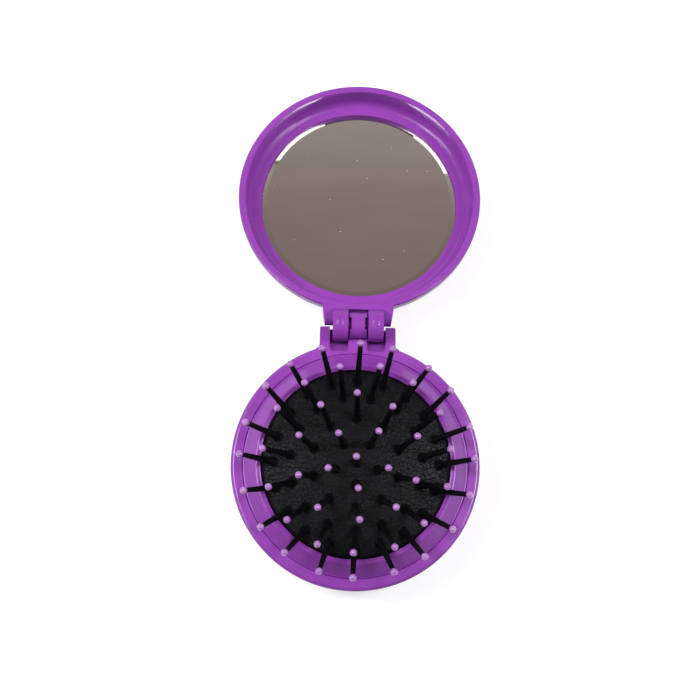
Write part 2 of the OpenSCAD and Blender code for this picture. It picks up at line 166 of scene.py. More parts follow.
SPECK_FADE = 1.6  # where a speck has faded out, as a multiple of its radius
CREASE_W = 0.12  # width of a crease in the leathery grain, as a share of a cell
HAIRLINE_LEN = 2.2 * MM
HAIRLINE_STRETCH = 26

# Middles of the round marks on the hinge fingers, and their radius
EJECTOR_MARKS = ((-4.75 * MM, 36.75 * MM, 21.7 * MM), (4.65 * MM, 36.75 * MM, 21.7 * MM))
EJECTOR_R = 0.85 * MM


class Finish:
    """A node material under construction, on the object's own coordinates."""

    def __init__(self, name, rough, metallic=0.0):
        self.material = bpy.data.materials.new(name)
        self.material.use_nodes = True
        self.tree = self.material.node_tree
        self.shader = self.tree.nodes["Principled BSDF"]
        self.shader.inputs["Roughness"].default_value = rough
        self.shader.inputs["Metallic"].default_value = metallic
        self.place = self.tree.nodes.new("ShaderNodeTexCoord").outputs["Object"]

    def node(self, kind, **settings):
        made = self.tree.nodes.new(kind)
        for key, value in settings.items():
            setattr(made, key, value)
        return made

    def link(self, source, target):
        self.tree.links.new(source, target)

    def mapped(self, scale, turn=0.0):
        """The object's coordinates, turned about Z and stretched."""
        mapping = self.node("ShaderNodeMapping")
        mapping.inputs["Scale"].default_value = scale
        mapping.inputs["Rotation"].default_value = (0, 0, turn)
        self.link(self.place, mapping.inputs["Vector"])
        return mapping.outputs["Vector"]

    def noise(self, size, detail, coordinates=None, rough=0.5):
        """Noise whose spots are about size metres across."""
        texture = self.node("ShaderNodeTexNoise")
        texture.inputs["Scale"].default_value = 1 / size
        texture.inputs["Detail"].default_value = detail
        texture.inputs["Roughness"].default_value = rough
        self.link(coordinates or self.place, texture.inputs["Vector"])
        return texture.outputs["Fac"]

    def specks(self, spacing, radius):
        """1 in small round specks that lie about spacing apart, and 0 elsewhere."""
        cells = self.node("ShaderNodeTexVoronoi")
        cells.inputs["Scale"].default_value = 1 / spacing
        self.link(self.place, cells.inputs["Vector"])
        edge = radius / spacing
        return self.ramp(cells.outputs["Distance"], (edge, 1), (edge * SPECK_FADE, 0))

    def hairlines(self, stretch, turn, low, high):
        """1 in long thin lines along one direction, and 0 elsewhere."""
        drawn = self.noise(HAIRLINE_LEN, detail=5, coordinates=self.mapped(stretch, turn))
        return self.ramp(drawn, (low, 0), (high, 1))

    def leather(self, cell, cloud, reach):
        """0 in the creases of a leathery grain and 1 on its pads, which noise pushes about."""
        push = self.node("ShaderNodeTexNoise")
        push.inputs["Scale"].default_value = 1 / cloud
        self.link(self.place, push.inputs["Vector"])
        wander = self.node("ShaderNodeVectorMath", operation="SCALE")
        wander.inputs["Scale"].default_value = reach
        self.link(push.outputs["Color"], wander.inputs[0])
        stirred = self.node("ShaderNodeVectorMath", operation="ADD")
        self.link(self.place, stirred.inputs[0])
        self.link(wander.outputs[0], stirred.inputs[1])
        pads = self.node("ShaderNodeTexVoronoi", feature="DISTANCE_TO_EDGE")
        pads.inputs["Scale"].default_value = 1 / cell
        self.link(stirred.outputs[0], pads.inputs["Vector"])
        return self.ramp(pads.outputs["Distance"], (0.0, 0), (CREASE_W, 1))

    def nearest(self, points):
        """Distance to the nearest of some points."""
        gaps = []
        for point in points:
            gap = self.node("ShaderNodeVectorMath", operation="DISTANCE")
            self.link(self.place, gap.inputs[0])
            gap.inputs[1].default_value = point
            gaps.append(gap.outputs["Value"])
        least = gaps[0]
        for gap in gaps[1:]:
            least = self.maths("MINIMUM", least, gap)
        return least

    def ramp(self, value, low, high):
        """Maps value smoothly from (from, to) in low to (from, to) in high."""
        span = self.node("ShaderNodeMapRange", interpolation_type="SMOOTHSTEP", clamp=True)
        span.inputs["From Min"].default_value = low[0]
        span.inputs["From Max"].default_value = high[0]
        span.inputs["To Min"].default_value = low[1]
        span.inputs["To Max"].default_value = high[1]
        self.link(value, span.inputs["Value"])
        return span.outputs["Result"]

    def maths(self, operation, a, b):
        made = self.node("ShaderNodeMath", operation=operation)
        for socket, value in zip(made.inputs, (a, b)):
            if isinstance(value, (int, float)):
                socket.default_value = value
            else:
                self.link(value, socket)
        return made.outputs["Value"]

    def mix(self, factor, first, second):
        """The first colour where factor is 0 and the second where it is 1."""
        made = self.node("ShaderNodeMix", data_type="RGBA")
        self.link(factor, made.inputs["Factor"])
        for socket, colour in zip(made.inputs[MIX_FROM:], (first, second)):
            if isinstance(colour, tuple):
                socket.default_value = (*colour, 1)
            else:
                self.link(colour, socket)
        return made.outputs[MIX_OUT]

    def colour(self, value):
        self.link(value, self.shader.inputs["Base Color"])

    def roughness(self, value):
        self.link(value, self.shader.inputs["Roughness"])

    def bump(self, height, depth, strength):
        """Adds relief of the given depth in metres to what is there already."""
        made = self.node("ShaderNodeBump")
        made.inputs["Distance"].default_value = depth
        made.inputs["Strength"].default_value = strength
        self.link(height, made.inputs["Height"])
        normal = self.shader.inputs["Normal"]
        if normal.links:
            self.link(normal.links[0].from_socket, made.inputs["Normal"])
        self.link(made.outputs["Normal"], normal)

    def set(self, **values):
        """Sets shader inputs, whose names have _ in place of a space."""
        for name, value in values.items():
            self.shader.inputs[name.replace("_", " ")].default_value = value


def moulded_purple():
    """Glossy moulded plastic with flow marks, hairlines, dust specks and the fingers' round marks,
    whose sunken rims get painted shade.
    """
    finish = Finish("moulded purple plastic", 0.24)
    flow = finish.ramp(finish.noise(16 * MM, detail=2), (0.35, 0), (0.65, 1))
    haze = finish.ramp(finish.noise(4 * MM, detail=5), (0.4, 0), (0.7, 1))
    body = finish.mix(flow, PURPLE_DEEP, PURPLE_LIGHT)
    body = finish.mix(finish.maths("MULTIPLY", haze, 0.15), body, PURPLE_HAZE)
    dust = finish.specks(5.2 * MM, 0.05 * MM)
    body = finish.mix(finish.maths("MULTIPLY", dust, 0.3), body, PURPLE_DUST)
    share = finish.maths("DIVIDE", finish.nearest(EJECTOR_MARKS), 2 * EJECTOR_R)  # rim at 0.5
    # A ring of painted shade darkens the sunken rim of each round mark
    ring = finish.maths("MULTIPLY", finish.ramp(share, (0.34, 0), (0.44, 1)),
                        finish.ramp(share, (0.52, 1), (0.60, 0)))
    finish.colour(finish.mix(finish.maths("MULTIPLY", ring, 0.45), body, PURPLE_MARK_SHADE))
    along = finish.hairlines((1, HAIRLINE_STRETCH, HAIRLINE_STRETCH), 0.5, 0.76, 0.86)
    across = finish.hairlines((HAIRLINE_STRETCH, 1, HAIRLINE_STRETCH), 0.3, 0.77, 0.87)
    hairline = finish.maths("MAXIMUM", along, across)
    base = finish.maths("ADD", 0.17, finish.maths("MULTIPLY", haze, 0.05))
    finish.roughness(finish.maths("ADD", base, finish.maths("MULTIPLY", hairline, 0.06)))
    finish.bump(finish.noise(0.35 * MM, detail=2), 0.006 * MM, 0.5)
    finish.bump(hairline, -0.001 * MM, 0.4)
    finish.bump(finish.ramp(share, (0.42, 0), (0.54, 1)), 0.06 * MM, 0.8)
    return finish.material


def cushion_rubber():
    """Black rubber with a leathery grain, a dull bloom and a few dust specks."""
    finish = Finish("black cushion rubber", 0.42)
    bloom = finish.ramp(finish.noise(9 * MM, detail=4), (0.35, 0), (0.7, 1))
    body = finish.mix(bloom, RUBBER_BLACK, RUBBER_BLOOM)
    crumb = finish.ramp(finish.noise(0.55 * MM, detail=3, rough=0.7), (0.45, 0), (0.75, 1))
    body = finish.mix(crumb, body, RUBBER_CRUMB)
    dust = finish.specks(3.2 * MM, 0.09 * MM)
    finish.colour(finish.mix(finish.maths("MULTIPLY", dust, 0.6), body, RUBBER_DUST))
    grain = finish.leather(cell=1.1 * MM, cloud=1.6 * MM, reach=0.7 * MM)
    fine = finish.noise(0.3 * MM, detail=3)
    finish.roughness(finish.ramp(fine, (0.3, 0.34), (0.7, 0.5)))
    finish.bump(grain, 0.09 * MM, 0.9)
    finish.bump(fine, 0.02 * MM, 0.7)
    finish.bump(finish.noise(5 * MM, detail=2), 0.25 * MM, 0.5)
    finish.set(Specular_IOR_Level=0.12)
    return finish.material


def bristle_nylon():
    """Black nylon, drawn along the pin, with a soft gloss."""
    finish = Finish("black bristle nylon", 0.35)
    drawn = finish.noise(1.5 * MM, detail=3, coordinates=finish.mapped((6, 6, 1)))
    streak = finish.ramp(drawn, (0.35, 0), (0.7, 1))
    finish.colour(finish.mix(streak, NYLON_BLACK, NYLON_STREAK))
    finish.roughness(finish.ramp(drawn, (0.3, 0.28), (0.7, 0.45)))
    finish.bump(drawn, 0.01 * MM, 0.4)
    finish.set(Specular_IOR_Level=0.25)
    return finish.material


def ball_lilac():
    """Pale lilac of the dipped balls, slightly milky."""
    finish = Finish("lilac ball", 0.2)
    tint = finish.ramp(finish.noise(5 * MM, detail=1), (0.35, 0), (0.65, 1))
    finish.colour(finish.mix(tint, LILAC_DEEP, LILAC_LIGHT))
    finish.bump(finish.noise(0.6 * MM, detail=2), 0.01 * MM, 0.4)
    finish.set(Coat_Weight=1.0, Coat_Roughness=0.04)
    return finish.material


def mirror_silver():
    """Silvered glass with faint wipe marks and dust."""
    finish = Finish("mirror silver", 0.03, metallic=1.0)
    wipe = finish.noise(20 * MM, detail=4, coordinates=finish.mapped((1, 3, 1), 0.7))
    dust = finish.specks(4.5 * MM, 0.09 * MM)
    clean = finish.ramp(wipe, (0.35, 0), (0.7, 1))
    silver = finish.mix(clean, SILVER_WIPED, SILVER_CLEAN)
    finish.colour(finish.mix(dust, silver, SILVER_DUST))
    smear = finish.ramp(wipe, (0.4, 0.02), (0.75, 0.06))
    finish.roughness(finish.maths("ADD", smear, finish.maths("MULTIPLY", dust, 0.5)))
    return finish.material


def ground_glass():
    """Ground edge of the mirror."""
    finish = Finish("ground mirror edge", 0.16, metallic=1.0)
    grind = finish.noise(0.8 * MM, detail=3)
    frost = finish.ramp(grind, (0.35, 0), (0.7, 1))
    finish.colour(finish.mix(frost, GROUND_DARK, GROUND_LIGHT))
    finish.roughness(finish.ramp(grind, (0.3, 0.12), (0.7, 0.3)))
    finish.bump(grind, 0.02 * MM, 0.5)
    return finish.material


def foam_tape():
    """White foam of the adhesive disc behind the mirror."""
    finish = Finish("white foam tape", 0.8)
    cells = finish.noise(0.4 * MM, detail=2)
    froth = finish.ramp(cells, (0.35, 0), (0.65, 1))
    finish.colour(finish.mix(froth, FOAM_DARK, FOAM_LIGHT))
    finish.bump(cells, 0.05 * MM, 0.6)
    return finish.material


# ---- Meshes ----

def place(name, mesh, *materials):
    """Puts a mesh in the scene as an object at the origin."""
    made = bpy.data.objects.new(name, mesh)
    bpy.context.scene.collection.objects.link(made)
    mesh.materials.clear()
    for material in materials:
        mesh.materials.append(material)
    return made


def arc(x, z, r, start, end, steps):
    """Points of an arc, as (radius, height) pairs, between two angles in degrees."""
    angles = (math.radians(start + (end - start) * i / steps) for i in range(steps + 1))
    return [(x + r * math.cos(a), z + r * math.sin(a)) for a in angles]


def revolve(name, outline, segments, where=Matrix()):
    """Solid of revolution of an outline that starts and ends on the axis."""
    shape = bmesh.new()
    turns = [2 * math.pi * i / segments for i in range(segments)]
    rings = []
    for r, z in outline:
        if r == 0:
            rings.append([shape.verts.new((0, 0, z))])
        else:
            rings.append([shape.verts.new((r * math.cos(t), r * math.sin(t), z)) for t in turns])
    for lower, upper in zip(rings, rings[1:]):
        for i in range(segments):
            corners = [lower[i % len(lower)], lower[(i + 1) % len(lower)],
                       upper[(i + 1) % len(upper)], upper[i % len(upper)]]
            face = shape.faces.new(list(dict.fromkeys(corners)))
            face.smooth = True
    bmesh.ops.recalc_face_normals(shape, faces=shape.faces)
    shape.transform(where)
    mesh = bpy.data.meshes.new(name)
    shape.to_mesh(mesh)
    shape.free()
    return mesh


def dome_z(r):
    """Height of the cushion's top at a distance from the middle."""
    return CROWN_Z - (DOME_R - math.sqrt(DOME_R * DOME_R - r * r))


def cushion_outline():
    """Outline of the cushion: dome, rolled edge, clamped flange and hollow underside."""
    edge_r = PAD_R - PAD_EDGE_ROUND
    inner_r = PAD_R - PAD_T
    top = [edge_r * i / DOME_STEPS for i in range(DOME_STEPS)]
    roof = [inner_r * i / DOME_STEPS for i in range(DOME_STEPS, -1, -1)]
    roll = arc(edge_r, dome_z(edge_r) - PAD_EDGE_ROUND, PAD_EDGE_ROUND, start=86, end=0, steps=8)
    flange = [
        (PAD_R, FLANGE_LOW_Z + FLANGE_T), (FLANGE_R, FLANGE_LOW_Z + FLANGE_T),
        (FLANGE_R, FLANGE_LOW_Z), (inner_r, FLANGE_LOW_Z),
    ]
    return [(r, dome_z(r)) for r in top] + roll + flange + [(r, dome_z(r) - PAD_T) for r in roof]


def make_cushion(rubber):
    """Rubber cushion with its clamped flange."""
    mesh = revolve("rubber_cushion", cushion_outline(), CUSHION_SEGMENTS)
    return place("rubber_cushion", mesh, rubber)


def make_mirror(silver, ground):
    """Mirror plate: flat face and back, a polished bevel and a ground edge."""
    back = -MIRROR_DEPTH - MIRROR_T
    outline = [
        (0, -MIRROR_DEPTH),
        (MIRROR_R - MIRROR_BEVEL_W, -MIRROR_DEPTH),
        (MIRROR_R, -MIRROR_DEPTH - MIRROR_BEVEL),
        (MIRROR_R, back + MIRROR_BACK_EDGE),
        (MIRROR_R - MIRROR_BACK_EDGE, back),
        (0, back),
    ]
    mesh = revolve("mirror_plate", outline, MIRROR_SEGMENTS, DISH)
    made = place("mirror_plate", mesh, silver, ground)
    front = 2 * MIRROR_SEGMENTS  # the faces of the flat face and the bevel come first
    for index, face in enumerate(mesh.polygons):
        face.use_smooth = False
        face.material_index = 0 if index < front else 1
    return made


# ---- Bristles, by Geometry Nodes ----

class Growth:
    """A geometry node tree under construction."""

    def __init__(self, name):
        self.tree = bpy.data.node_groups.new(name, "GeometryNodeTree")
        self.entry = None

    def add_inputs(self, sockets):
        for name, kind, value in sockets:
            socket = self.tree.interface.new_socket(name, in_out="INPUT", socket_type=kind)
            if value is not None:
                socket.default_value = value
        self.entry = self.tree.nodes.new("NodeGroupInput")

    def given(self, name):
        return self.entry.outputs[name]

    def node(self, kind, inputs=(), **settings):
        made = self.tree.nodes.new(kind)
        for key, value in settings.items():
            setattr(made, key, value)
        for name, value in dict(inputs).items():
            self.feed(made.inputs[name], value)
        return made

    def feed(self, socket, value):
        if isinstance(value, bpy.types.NodeSocket):
            self.tree.links.new(value, socket)
        else:
            socket.default_value = value

    def maths(self, operation, a, b=0.0):
        return self.node("ShaderNodeMath", {0: a, 1: b}, operation=operation).outputs[0]

    def vector(self, x=0.0, y=0.0, z=0.0):
        return self.node("ShaderNodeCombineXYZ", {"X": x, "Y": y, "Z": z}).outputs[0]

    def scatter(self, seed, reach):
        """A random number from -reach to reach for each bristle."""
        made = self.node("FunctionNodeRandomValue", data_type="FLOAT")
        floats = [s for s in made.inputs if s.type == "VALUE"]
        self.feed(floats[0], self.maths("MULTIPLY", reach, -1.0))
        self.feed(floats[1], reach)
        self.feed(made.inputs["Seed"], seed)
        return next(s for s in made.outputs if s.type == "VALUE")

    def finish(self, geometry):
        self.tree.interface.new_socket("Geometry", in_out="OUTPUT",
                                       socket_type="NodeSocketGeometry")
        out = self.tree.nodes.new("NodeGroupOutput")
        self.tree.links.new(geometry, out.inputs["Geometry"])
        return self.tree


def ring_tree():
    """One ring: copies of a shape, spaced evenly and leaning outward, with a little scatter."""
    ring = Growth("bristle ring")
    ring.add_inputs([
        ("Shape", "NodeSocketGeometry", None),
        ("Count", "NodeSocketInt", PER_RING),
        ("Radius", "NodeSocketFloat", INNER_PITCH),
        ("Height", "NodeSocketFloat", 0.0),
        ("Lean", "NodeSocketFloat", 0.0),
        ("Lean Scatter", "NodeSocketFloat", 0.0),
        ("Side Scatter", "NodeSocketFloat", 0.0),
        ("Seed", "NodeSocketInt", SEED),
    ])
    index = ring.node("GeometryNodeInputIndex").outputs[0]
    share = ring.maths("DIVIDE", index, ring.given("Count"))
    turn = ring.maths("SUBTRACT", ring.maths("MULTIPLY", share, 2 * math.pi), math.pi / 2)
    x = ring.maths("MULTIPLY", ring.maths("COSINE", turn), ring.given("Radius"))
    y = ring.maths("MULTIPLY", ring.maths("SINE", turn), ring.given("Radius"))
    points = ring.node("GeometryNodePoints", {
        "Count": ring.given("Count"), "Position": ring.vector(x, y, ring.given("Height")),
    })
    side = ring.scatter(ring.given("Seed"), ring.given("Side Scatter"))
    lean_seed = ring.maths("ADD", ring.given("Seed"), float(LEAN_SEED_STEP))
    stray = ring.scatter(lean_seed, ring.given("Lean Scatter"))
    lean = ring.maths("ADD", ring.given("Lean"), stray)
    copies = ring.node("GeometryNodeInstanceOnPoints", {
        "Points": points.outputs[0],
        "Instance": ring.given("Shape"),
        "Rotation": ring.vector(side, lean, turn),
    })
    return ring.finish(copies.outputs[0])


# Inputs that the trees of shafts, balls and collars share
FIELD_SOCKETS = [
    ("Inner Pitch", "NodeSocketFloat", INNER_PITCH),
    ("Outer Radius", "NodeSocketFloat", OUTER_RING_R),
    ("Crown Height", "NodeSocketFloat", CROWN_Z),
    ("Dome Radius", "NodeSocketFloat", DOME_R),
    ("Lean Step", "NodeSocketFloat", LEAN_STEP),
    ("Follow Dome", "NodeSocketFloat", 0.0),
    ("Scatter", "NodeSocketFloat", 0.0),
    ("Seed", "NodeSocketInt", SEED),
    ("Finish", "NodeSocketMaterial", None),
]


def plant(field, shape, ring_group):
    """Plants a shape in the middle and on every ring of the dome, and realizes the copies."""
    join = field.node("GeometryNodeJoinGeometry")
    for k in range(RINGS + 1):
        if k == RINGS:
            radius, steps, calm = field.given("Outer Radius"), OUTER_RING_STEPS, OUTER_CALM
        else:
            radius = field.maths("MULTIPLY", field.given("Inner Pitch"), float(k))
            steps, calm = float(k), INNER_CALM
        dome = field.given("Dome Radius")
        leg = field.maths("SQRT", field.maths("SUBTRACT", field.maths("MULTIPLY", dome, dome),
                                              field.maths("MULTIPLY", radius, radius)))
        sag = field.maths("SUBTRACT", dome, leg)
        height = field.maths("SUBTRACT", field.given("Crown Height"), sag)
        slope = field.maths("ARCSINE", field.maths("DIVIDE", radius, dome))
        fan = field.maths("MULTIPLY", field.given("Lean Step"), steps)
        lean = field.maths("ADD", fan, field.maths("MULTIPLY", slope, field.given("Follow Dome")))
        lean_scatter = field.maths("MULTIPLY", field.given("Scatter"), calm)
        seed = field.maths("ADD", field.given("Seed"), float(RING_SEED_STEP * k))
        ring = field.node("GeometryNodeGroup", node_tree=ring_group)
        field.feed(ring.inputs["Shape"], shape)
        field.feed(ring.inputs["Count"], max(1, PER_RING * k))
        field.feed(ring.inputs["Radius"], radius)
        field.feed(ring.inputs["Height"], height)
        field.feed(ring.inputs["Lean"], lean)
        field.feed(ring.inputs["Side Scatter"], field.given("Scatter"))
        field.feed(ring.inputs["Lean Scatter"], lean_scatter)
        field.feed(ring.inputs["Seed"], seed)
        field.tree.links.new(ring.outputs[0], join.inputs[0])
    real = field.node("GeometryNodeRealizeInstances", {"Geometry": join.outputs[0]})
    smooth = field.node("GeometryNodeSetShadeSmooth", {"Geometry": real.outputs[0]})
    coloured = field.node("GeometryNodeSetMaterial", {
        "Geometry": smooth.outputs[0], "Material": field.given("Finish"),
    })
    return field.finish(coloured.outputs[0])


def shaft_tree(ring_group):
    """Bristle shafts: a flared root that tapers to a slim end."""
    field = Growth("bristle shafts")
    field.add_inputs(FIELD_SOCKETS + [
        ("Length", "NodeSocketFloat", BRISTLE_LEN),
        ("Sink", "NodeSocketFloat", BRISTLE_SINK),
        ("Flare", "NodeSocketFloat", FLARE_LEN),
        ("Root Radius", "NodeSocketFloat", ROOT_R),
        ("Shaft Radius", "NodeSocketFloat", SHAFT_R),
        ("End Radius", "NodeSocketFloat", END_R),
    ])
    root = field.vector(z=field.maths("MULTIPLY", field.given("Sink"), -1.0))
    end = field.vector(z=field.given("Length"))
    line = field.node("GeometryNodeCurvePrimitiveLine", {"Start": root, "End": end})
    cut = field.node("GeometryNodeResampleCurve", {"Curve": line.outputs[0], "Count": SHAFT_RINGS})
    spot = field.node("GeometryNodeInputPosition").outputs[0]
    height = field.node("ShaderNodeSeparateXYZ", {0: spot}).outputs["Z"]
    flare = field.node("ShaderNodeMapRange", {
        "Value": height, "From Min": 0.0, "From Max": field.given("Flare"),
        "To Min": field.given("Root Radius"), "To Max": field.given("Shaft Radius"),
    }, interpolation_type="SMOOTHSTEP").outputs["Result"]
    taper = field.maths("SUBTRACT", field.given("Shaft Radius"), field.given("End Radius"))
    slim = field.node("ShaderNodeMapRange", {
        "Value": height, "From Min": field.given("Flare"), "From Max": field.given("Length"),
        "To Min": 0.0, "To Max": taper,
    }).outputs["Result"]
    radius = field.maths("SUBTRACT", flare, slim)
    circle = field.node("GeometryNodeCurvePrimitiveCircle",
                        {"Resolution": SHAFT_SIDES, "Radius": 1.0})
    tube = field.node("GeometryNodeCurveToMesh", {
        "Curve": cut.outputs[0], "Profile Curve": circle.outputs[0],
        "Scale": radius, "Fill Caps": True,
    })
    return plant(field, tube.outputs[0], ring_group)


def ball_tree(ring_group):
    """Balls at the ends of the bristles."""
    field = Growth("bristle balls")
    field.add_inputs(FIELD_SOCKETS + [
        ("Length", "NodeSocketFloat", BRISTLE_LEN),
        ("Ball Radius", "NodeSocketFloat", BALL_R),
    ])
    ball = field.node("GeometryNodeMeshUVSphere", {
        "Segments": BALL_SEGMENTS, "Rings": BALL_RINGS, "Radius": field.given("Ball Radius"),
    })
    lifted = field.node("GeometryNodeTransform", {
        "Geometry": ball.outputs[0], "Translation": field.vector(z=field.given("Length")),
    })
    return plant(field, lifted.outputs[0], ring_group)


def collar_tree(ring_group):
    """Low rubber collars where the bristles leave the cushion."""
    field = Growth("rubber collars")
    field.add_inputs(FIELD_SOCKETS + [
        ("Collar Radius", "NodeSocketFloat", COLLAR_R),
        ("Collar Height", "NodeSocketFloat", COLLAR_H),
    ])
    radius, height = field.given("Collar Radius"), field.given("Collar Height")
    cone = field.node("GeometryNodeMeshCone", {
        "Vertices": COLLAR_SIDES,
        "Radius Top": field.maths("MULTIPLY", radius, COLLAR_TAPER), "Radius Bottom": radius,
        "Depth": field.maths("MULTIPLY", height, 2.0),  # half of it stays in the rubber
    })
    sunk = field.node("GeometryNodeTransform", {
        "Geometry": cone.outputs[0],
        "Translation": field.vector(z=field.maths("MULTIPLY", height, -1.0)),
    })
    return plant(field, sunk.outputs[0], ring_group)


def grow(name, tree, settings):
    """Runs a tree with the given inputs and returns the result as a plain mesh object."""
    holder = bpy.data.objects.new(name + "_source", bpy.data.meshes.new(name + "_source"))
    bpy.context.scene.collection.objects.link(holder)
    modifier = holder.modifiers.new("growth", "NODES")
    modifier.node_group = tree
    sockets = {item.name: item.identifier for item in tree.interface.items_tree
               if item.item_type == "SOCKET" and item.in_out == "INPUT"}
    for socket, value in settings.items():
        modifier[sockets[socket]] = value
    bpy.context.view_layer.update()
    evaluated = holder.evaluated_get(bpy.context.evaluated_depsgraph_get())
    mesh = bpy.data.meshes.new_from_object(evaluated)
    holder.modifiers.remove(modifier)
    bpy.data.objects.remove(holder)
    mesh.name = name
    return place(name, mesh, settings["Finish"])


# ---- Studio ----

MIDDLE = Vector((0, 37 * MM, 12 * MM))

# Camera, nearly straight above the open brush
TILT, SWING, ROLL = math.radians(10.96), math.radians(1.67), math.radians(-1.05)
CAMERA_DISTANCE = 0.370
CAMERA_TARGET = Vector((-2.0 * MM, 30.31 * MM, RIM_Z))
PIXELS_PER_METRE = 3786.6
FRAME_PIXELS = 700
SENSOR = 36.0

# Table, which shines more away from the part, where no shadow falls
FLOOR_SIZE = 6.0
FLOOR_DROP = 0.05 * MM
FLOOR_SHADE = (0.5, 0.5, 0.5)
FLOOR_NEAR, FLOOR_NEAR_GLOW = 0.2, 0.7
FLOOR_FAR, FLOOR_FAR_GLOW = 0.6, 1.0

# Soft lamps: name, place, width and length, watts
LAMPS = (
    ("overhead softbox", (0, 0.30, 0.85), (0.5, 0.45), 0.3),
    ("left softbox", (-0.50, 0.14, 0.61), (0.2, 0.6), 5.3),
    ("right softbox", (0.50, 0.14, 0.61), (0.2, 0.6), 3.9),
)
AMBIENT_SHADE = (0.93, 0.95, 1.0)
AMBIENT_POWER = 0.06

# Room that glossy surfaces reflect, in plan, and the shade of its ceiling at places along Y
ROOM_LOW = (-1.0, -0.7)
ROOM_HIGH = (1.0, 1.0)
ROOM_FOOT = 0.01
CEILING_Z = 0.50
CEILING_SHADES = (
    (-0.27, (0.030, 0.027, 0.026)),
    (-0.20, (0.360, 0.350, 0.340)),
    (-0.06, (0.360, 0.350, 0.340)),
    (0.02, (0.090, 0.080, 0.075)),
    (0.13, (0.185, 0.138, 0.122)),
    (0.20, (0.190, 0.142, 0.125)),
    (0.274, (0.212, 0.160, 0.142)),
    (0.341, (0.245, 0.191, 0.169)),
    (0.415, (0.345, 0.288, 0.262)),
    (0.450, (0.345, 0.288, 0.262)),
    (0.458, (0.060, 0.050, 0.048)),
)
DARK_WALL = (0.035, 0.031, 0.030)
DIM_WALL = (0.30, 0.29, 0.30)

# Panes under the ceiling: light, shade, power, drop, then each pane's name and corners in plan
PANES = (
    ("window light", (1.0, 1.0, 0.97), 1.3, 0.01, (
        ("right window", (0.138, 0.435), (0.36, 0.80)),
        ("left window", (-0.36, 0.455), (-0.059, 0.80)),
    )),
    ("lamp light", (1.0, 0.98, 1.0), 17.0, 0.01, (
        ("left lamp", (-0.30, -0.02), (-0.14, 0.12)),
        ("right lamp", (0.14, -0.02), (0.30, 0.12)),
    )),
    ("strip light", (1.0, 1.0, 1.0), 7.0, 0.02, (
        ("left strip", (-0.82, -0.45), (-0.60, 0.0)),
        ("right strip", (0.60, -0.45), (0.82, 0.0)),
    )),
)


def make_camera():
    """Camera that turns about a place on the rim's level, between base and lid."""
    data = bpy.data.cameras.new("camera")
    data.sensor_width = SENSOR
    data.lens = CAMERA_DISTANCE * PIXELS_PER_METRE / FRAME_PIXELS * SENSOR
    data.clip_start = 0.01
    data.clip_end = 20
    made = bpy.data.objects.new("camera", data)
    bpy.context.scene.collection.objects.link(made)
    made.matrix_world = (
        Matrix.Translation(CAMERA_TARGET)
        @ Matrix.Rotation(-ROLL, 4, "Z")
        @ Matrix.Rotation(-SWING, 4, "Y")
        @ Matrix.Rotation(TILT, 4, "X")
        @ Matrix.Translation((0, 0, CAMERA_DISTANCE))
    )
    bpy.context.scene.camera = made


def make_lamp(name, spot, size, watts):
    """Soft lamp that shines at the middle of the part and doesn't show in reflections."""
    data = bpy.data.lights.new(name, "AREA")
    data.shape = "RECTANGLE"
    data.size, data.size_y = size
    data.energy = watts
    made = bpy.data.objects.new(name, data)
    bpy.context.scene.collection.objects.link(made)
    made.visible_camera = False
    made.visible_glossy = False
    away = Vector(spot) - MIDDLE
    made.matrix_world = Matrix.Translation(spot) @ away.to_track_quat("Z", "Y").to_matrix().to_4x4()


def seen_straight(tree):
    """1 for camera, glossy and transmission rays, which see the background, and 0 for others."""
    path = tree.nodes.new("ShaderNodeLightPath")
    seen = path.outputs["Is Camera Ray"]
    for name in ("Is Glossy Ray", "Is Transmission Ray"):
        either = tree.nodes.new("ShaderNodeMath")
        either.operation = "MAXIMUM"
        tree.links.new(seen, either.inputs[0])
        tree.links.new(path.outputs[name], either.inputs[1])
        seen = either.outputs[0]
    return seen


def make_world():
    """Faint ambient light, and a white background where it is seen or reflected."""
    world = bpy.data.worlds.new("studio")
    bpy.context.scene.world = world
    world.use_nodes = True
    tree = world.node_tree
    ambient = tree.nodes["Background"]
    ambient.inputs["Color"].default_value = (*AMBIENT_SHADE, 1)
    ambient.inputs["Strength"].default_value = AMBIENT_POWER
    white = tree.nodes.new("ShaderNodeBackground")
    white.inputs["Color"].default_value = (1, 1, 1, 1)
    white.inputs["Strength"].default_value = 1.0
    mixer = tree.nodes.new("ShaderNodeMixShader")
    tree.links.new(seen_straight(tree), mixer.inputs[0])
    tree.links.new(ambient.outputs[0], mixer.inputs[1])
    tree.links.new(white.outputs[0], mixer.inputs[2])
    tree.links.new(mixer.outputs[0], tree.nodes["World Output"].inputs["Surface"])


